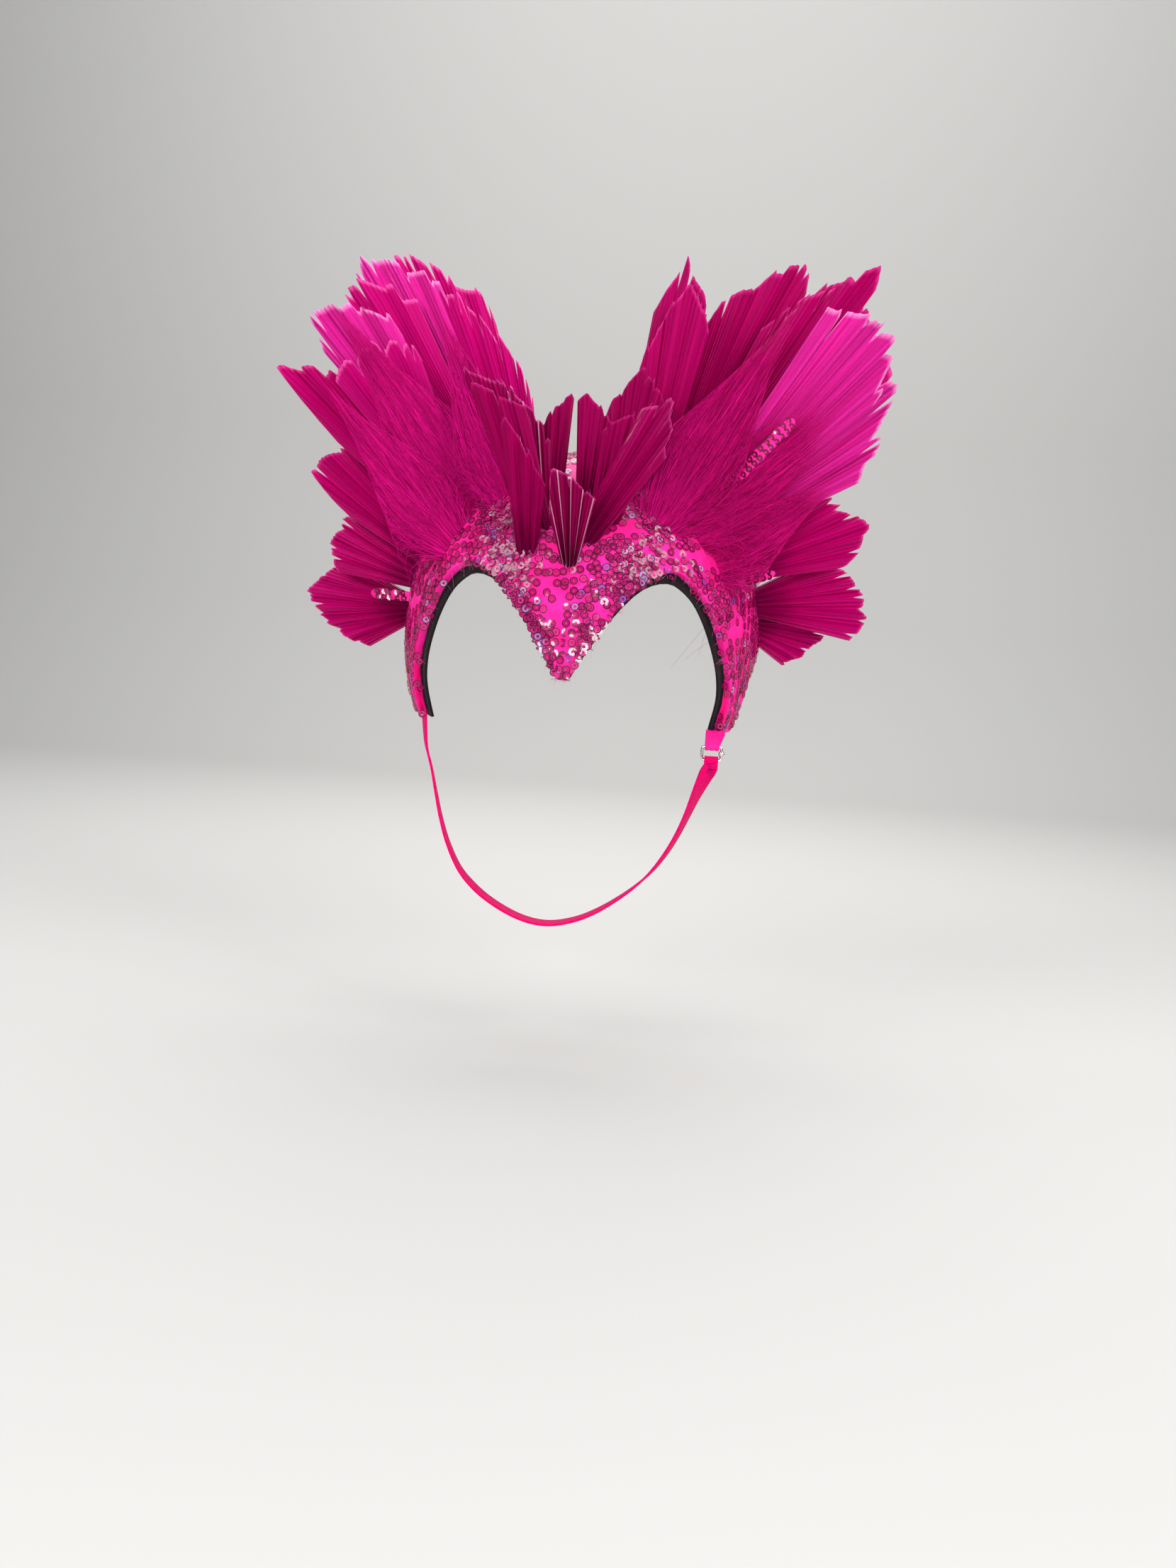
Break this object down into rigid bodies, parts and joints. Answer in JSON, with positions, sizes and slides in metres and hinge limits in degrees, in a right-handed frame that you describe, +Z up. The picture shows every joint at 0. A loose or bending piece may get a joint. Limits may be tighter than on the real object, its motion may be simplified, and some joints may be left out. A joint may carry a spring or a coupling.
{
  "type": "sequin headpiece",
  "caption": "Sequinned padded cap with a widow's peak, two upright wings of pleated dyed palm leaves with feathers, and an elastic chin strap that hooks on.",
  "frame": {"origin": "inside of the crown at its highest point, where the headpiece sits on the head", "axes": "+Z up, -Y the way the wearer faces, +X the wearer's left"},
  "size_m": [0.27, 0.1416, 0.2972],
  "materials": {
    "sequin_cloth": "hot pink stretch cloth under rows of clear pink cup sequins",
    "black_felt": "matt black felt",
    "dyed_palm": "dried pleated palm leaf dyed crimson to magenta, with a satin sheen",
    "dyed_down": "soft magenta down",
    "elastic": "flat neon pink elastic",
    "silver_wire": "bright wire"
  },
  "bodies": {
    "root": {"cap_shell": "sequin_cloth", "lining": "black_felt", "leaf_centre_1": "dyed_palm", "leaf_centre_2": "dyed_palm", "leaf_centre_3": "dyed_palm", "leaf_centre_4": "dyed_palm", "leaf_centre_5": "dyed_palm", "leaf_left_front_1": "dyed_palm", "leaf_left_front_2": "dyed_palm", "leaf_left_front_3": "dyed_palm", "leaf_left_front_4": "dyed_palm", "leaf_right_wing_1": "dyed_palm", "leaf_right_wing_2": "dyed_palm", "leaf_right_wing_3": "dyed_palm", "leaf_right_wing_4": "dyed_palm", "leaf_right_wing_5": "dyed_palm", "leaf_right_wing_6": "dyed_palm", "leaf_right_wing_7": "dyed_palm", "leaf_right_wing_8": "dyed_palm", "leaf_right_wing_9": "dyed_palm", "leaf_left_wing_1": "dyed_palm", "leaf_left_wing_2": "dyed_palm", "leaf_left_wing_3": "dyed_palm", "leaf_left_wing_4": "dyed_palm", "leaf_left_wing_5": "dyed_palm", "leaf_left_wing_6": "dyed_palm", "leaf_left_wing_7": "dyed_palm", "leaf_right_side_1": "dyed_palm", "leaf_right_side_2": "dyed_palm", "leaf_right_side_3": "dyed_palm", "leaf_left_side_1": "dyed_palm", "leaf_left_side_2": "dyed_palm", "leaf_left_side_3": "dyed_palm", "feather_right_1": "dyed_down", "feather_right_2": "dyed_down", "feather_right_3": "dyed_down", "feather_left_1": "dyed_down", "feather_left_2": "dyed_down", "feather_left_3": "dyed_down", "fabric_tab_right_1": "sequin_cloth", "fabric_tab_right_2": "sequin_cloth", "fabric_tab_left_1": "sequin_cloth", "fabric_tab_left_2": "sequin_cloth", "chin_strap": "elastic", "band_loop": "sequin_cloth", "strap_hook": "silver_wire"}
  },
  "joints": []
}
